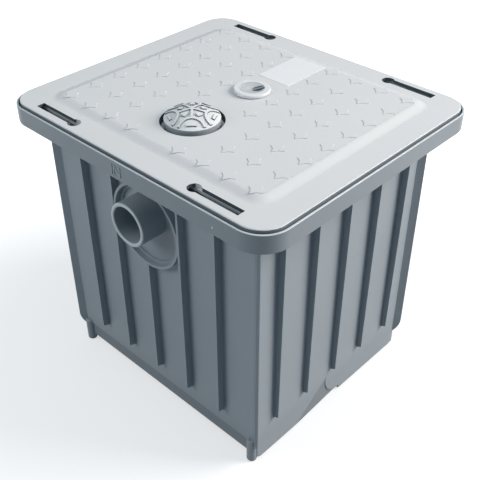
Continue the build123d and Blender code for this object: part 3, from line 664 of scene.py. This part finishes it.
def on_shaded_base(point, normal):
    """The stepped-in base on the pipe sides, round to the ground, given painted shade."""
    outside = SIDE_WALL_X - BASE_IN < abs(point.x) < SIDE_WALL_X + 0.2 * MM
    between = abs(point.y) < END_WALL_Y - 4.0 * MM
    return outside and between and point.z < BASE_TOP and abs(normal.y) < 0.2


def on_highlit_pipe_mouth(point, normal):
    """The rounded ends of the two pipes, given a painted highlight."""
    outside = abs(point.x) > SIDE_WALL_X + MOUTH_OUT
    return outside and point.z < LIP_TOP - MOUTH_UNDER_LIP and abs(normal.x) > 0.25


def low_on_end(point):
    """Low on an end wall and no further in than its slanted flats."""
    near = abs(point.x) < SIDE_WALL_X - FLAT_SIDE and point.z < FLAT_TOP
    return near and -0.1 * MM < END_WALL_Y - abs(point.y) < FLAT_IN


def on_shaded_flat(point, normal):
    """The slanted flats low on the end walls, given painted shade."""
    outward = normal.y if point.y > 0 else -normal.y
    return low_on_end(point) and 0.9 < outward < 0.9993


def on_shaded_flat_edge(point, normal):
    """The round edges that end the slanted flats, given painted shade."""
    return low_on_end(point) and abs(normal.y) < 0.4 and point.z > FLAT_EDGE_LOW


def on_shaded_lid_side(point, normal):
    """The upright outer edge of the lid, given painted shade."""
    past = Vector((abs(point.x) - lid_high.x, abs(point.y) - lid_high.y))
    corner = past + Vector((LID_CORNER, LID_CORNER))
    on_straight = max(past) > -LID_SKIN
    on_corner = min(corner) > 0 and corner.length > LID_CORNER - LID_SKIN
    return (on_straight or on_corner) and abs(normal.z) < 0.25


def in_shaded_recess(point, normal):
    """The upright walls of the lid's slots and of the cap's sunken neck, given painted shade."""
    in_neck = from_axis(point, CAP_MIDDLE) < NECK_R
    in_slot = SIDE_WALL_X < abs(point.x) < lid_high.x - 4.0 * MM and point.z > LID_FLAT - SLOT_DEEP
    return abs(normal.z) < 0.3 and (in_neck or in_slot)


def on_shaded_cap_side(point, normal):
    """The round side of the cap's knob, given the darker tank grey as painted shade."""
    return from_axis(point, CAP_MIDDLE) > KNOB_R and abs(normal.z) < 0.5


def on_shaded_cap_relief(point, normal):
    """The steep walls of the cap's raised pattern, given painted shade."""
    inside = from_axis(point, CAP_MIDDLE) < RELIEF_R
    return inside and point.z > DECK_TOP + 2.0 * MM and abs(normal.z) < 0.45


def on_plug_rim(point, normal):
    """The clouded ring round the plug's clear dish."""
    return from_axis(point, PLUG_MIDDLE) > DISH_R and point.z > DECK_TOP


# Later rows win where two cover one face
PART_FINISHES = [
    ("tank", band_shade_plastic, on_shaded_band),
    ("tank", base_shade_plastic, on_shaded_base),
    ("tank", highlight_plastic, on_highlit_pipe_mouth),
    ("tank", flat_shade_plastic, on_shaded_flat),
    ("tank", edge_shade_plastic, on_shaded_flat_edge),
    ("tank", highlight_plastic, on_highlit_lip),
    ("lid", edge_shade_plastic, on_shaded_lid_side),
    ("lid", recess_shade_plastic, in_shaded_recess),
    # Painted shade: the cap's side takes the darker tank grey
    ("inspection_cap", tank_plastic, on_shaded_cap_side),
    ("inspection_cap", edge_shade_plastic, on_shaded_cap_relief),
    ("sight_plug", clouded_plastic, on_plug_rim),
]

for node_name, finish, wanted in PART_FINISHES:
    refinish(mouldings[node_name], finish, wanted)


# Small pieces that the scene adds


def make_plate():
    """The bare plate stuck on the lid's raised deck."""
    deselect()
    centre = ((PLATE_X[0] + PLATE_X[1]) / 2, PLATE_Y, DECK_TOP + PLATE_T / 2)
    bpy.ops.mesh.primitive_cube_add(size=1.0, location=centre)
    plate = bpy.context.object
    plate.name = "lid_plate"
    plate.scale = (PLATE_X[1] - PLATE_X[0], 2 * PLATE_HALF_Y, PLATE_T)
    settle(plate)
    pick(plate)
    bpy.ops.object.mode_set(mode="EDIT")
    mesh = bmesh.from_edit_mesh(plate.data)
    for edge in mesh.edges:
        edge.select_set(abs(edge.verts[0].co.z - edge.verts[1].co.z) > PLATE_T / 2)
    bmesh.update_edit_mesh(plate.data)
    bpy.ops.mesh.bevel(offset=PLATE_ROUND, segments=6, affect="EDGES")
    bpy.ops.object.mode_set(mode="OBJECT")
    finish_modifier(plate, "BEVEL", width=PLATE_T * 0.4, segments=2, limit_method="ANGLE")
    dress(plate, plate_film)
    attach(plate, "lid")


def make_mark():
    """The two plain raised letters on the rim that say which side is the inlet."""
    deselect()
    bpy.ops.object.text_add(location=(0, 0, 0))
    mark = bpy.context.object
    mark.name = "inlet_mark"
    mark.data.body = "IN"
    mark.data.size = MARK_TALL * 1.4
    mark.data.extrude = MARK_PROUD
    mark.data.bevel_depth = 0.12 * MM
    mark.data.align_x = "CENTER"
    mark.data.align_y = "CENTER"
    bpy.ops.object.convert(target="MESH")
    mark = bpy.context.object
    mark.rotation_euler = (radians(90), 0, radians(-90))
    mark.location = (RIM_FACE_X, MARK_Y, MARK_Z)
    settle(mark)
    dress(mark, tank_plastic)
    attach(mark, "tank")


def make_pip():
    """The small round pip left by the mould on the rim's inlet side."""
    deselect()
    at = (RIM_FACE_X, PIP_Y, PIP_Z)
    bpy.ops.mesh.primitive_uv_sphere_add(segments=24, ring_count=12, radius=PIP_R, location=at)
    pip = bpy.context.object
    pip.name = "rim_pip"
    pip.scale = (0.5, 1.0, 1.0)
    settle(pip)
    bpy.ops.object.shade_smooth()
    # Painted highlight on the pip
    dress(pip, highlight_plastic)
    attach(pip, "tank")


make_plate()
make_mark()
make_pip()

# Floor, light and camera
FLOOR_SIZE = 12.0
FLOOR_WHITE = (0.48, 0.49, 0.50)
FLOOR_NEAR = 0.30
FLOOR_FAR = 0.75
FLOOR_BOUNCE = (0.10, 0.13, 0.16)
FLOOR_LIFT = 0.60
AMBIENT = (0.15, 0.19, 0.225)

# Each softbox: name, place, size, power and colour
LIGHT_AIM = (0.0, 0.0, 0.2)
SOFTBOXES = [
    ("right softbox", (1.5, -1.6, 1.5), 1.3, 73.0, (1.0, 0.96, 0.925)),
    ("left softbox", (-1.9, 1.1, 1.5), 1.3, 21.0, (0.93, 0.98, 1.0)),
    ("top softbox", (0.0, 0.1, 2.4), 1.6, 8.0, (1.0, 1.0, 1.0)),
]


def make_floor():
    """A plain white floor that keeps the object's soft shadow."""
    deselect()
    bpy.ops.mesh.primitive_plane_add(size=FLOOR_SIZE, location=(0, 0, cad_low.z))
    floor = bpy.context.object
    floor.name = "studio_floor"
    material = bpy.data.materials.new("white studio floor")
    material.use_nodes = True
    tree = material.node_tree
    tree.nodes.clear()
    path = tree.nodes.new("ShaderNodeLightPath")
    place = tree.nodes.new("ShaderNodeTexCoord").outputs["Object"]
    reach = tree.nodes.new("ShaderNodeVectorMath")
    reach.operation = "LENGTH"
    tree.links.new(place, reach.inputs[0])
    fade = tree.nodes.new("ShaderNodeMapRange")
    fade.interpolation_type = "SMOOTHSTEP"
    fade.inputs["From Min"].default_value = FLOOR_NEAR
    fade.inputs["From Max"].default_value = FLOOR_FAR
    fade.inputs["To Min"].default_value = FLOOR_LIFT
    fade.inputs["To Max"].default_value = 1.0
    tree.links.new(reach.outputs["Value"], fade.inputs["Value"])
    tint = tree.nodes.new("ShaderNodeMix")
    tint.data_type = "RGBA"
    tree.links.new(path.outputs["Is Diffuse Ray"], tint.inputs["Factor"])
    tint.inputs["A"].default_value = (*FLOOR_WHITE, 1.0)
    tint.inputs["B"].default_value = (*FLOOR_BOUNCE, 1.0)
    diffuse = tree.nodes.new("ShaderNodeBsdfDiffuse")
    tree.links.new(tint.outputs["Result"], diffuse.inputs["Color"])
    lift = tree.nodes.new("ShaderNodeEmission")
    seen = math_node(tree, "MAXIMUM", path.outputs["Is Camera Ray"], path.outputs["Is Glossy Ray"])
    seen = math_node(tree, "MAXIMUM", seen, path.outputs["Is Transmission Ray"])
    tree.links.new(math_node(tree, "MULTIPLY", seen, fade.outputs["Result"]), lift.inputs["Strength"])
    both = tree.nodes.new("ShaderNodeAddShader")
    tree.links.new(diffuse.outputs[0], both.inputs[0])
    tree.links.new(lift.outputs[0], both.inputs[1])
    out = tree.nodes.new("ShaderNodeOutputMaterial")
    tree.links.new(both.outputs[0], out.inputs["Surface"])
    floor.data.materials.append(material)


def make_world():
    """A dim cool surround that shows white behind the object."""
    world = bpy.data.worlds.new("studio surround")
    bpy.context.scene.world = world
    world.use_nodes = True
    tree = world.node_tree
    tree.nodes.clear()
    path = tree.nodes.new("ShaderNodeLightPath")
    seen = math_node(tree, "MAXIMUM", path.outputs["Is Camera Ray"], path.outputs["Is Transmission Ray"])
    mix = tree.nodes.new("ShaderNodeMix")
    mix.data_type = "RGBA"
    tree.links.new(seen, mix.inputs["Factor"])
    mix.inputs["A"].default_value = (*AMBIENT, 1.0)
    mix.inputs["B"].default_value = (1.0, 1.0, 1.0, 1.0)
    back = tree.nodes.new("ShaderNodeBackground")
    tree.links.new(mix.outputs["Result"], back.inputs["Color"])
    out = tree.nodes.new("ShaderNodeOutputWorld")
    tree.links.new(back.outputs[0], out.inputs["Surface"])


def softbox(name, at, size, power, color):
    """One square soft light that faces the object."""
    light = bpy.data.lights.new(name, "AREA")
    light.shape = "SQUARE"
    light.size = size
    light.energy = power
    light.color = color
    lamp = bpy.data.objects.new(name, light)
    bpy.context.scene.collection.objects.link(lamp)
    lamp.location = at
    lamp.rotation_mode = "QUATERNION"
    lamp.rotation_quaternion = (Vector(LIGHT_AIM) - Vector(at)).to_track_quat("-Z", "Y")


def make_camera():
    """The photo's own viewpoint."""
    data = bpy.data.cameras.new("photo camera")
    data.lens = CAMERA_LENS
    data.sensor_width = CAMERA_SENSOR
    data.clip_start = 0.05
    camera = bpy.data.objects.new("photo camera", data)
    bpy.context.scene.collection.objects.link(camera)
    camera.location = CAMERA_AT
    camera.rotation_mode = "QUATERNION"
    turned = Quaternion((0, 0, 1), radians(CAMERA_AZIMUTH))
    tipped = Quaternion((1, 0, 0), radians(90 - CAMERA_PITCH))
    rolled = Quaternion((0, 0, 1), radians(CAMERA_ROLL))
    camera.rotation_quaternion = turned @ tipped @ rolled
    bpy.context.scene.camera = camera


make_floor()
make_world()
for settings in SOFTBOXES:
    softbox(*settings)
make_camera()

bpy.context.scene.view_settings.view_transform = "Standard"
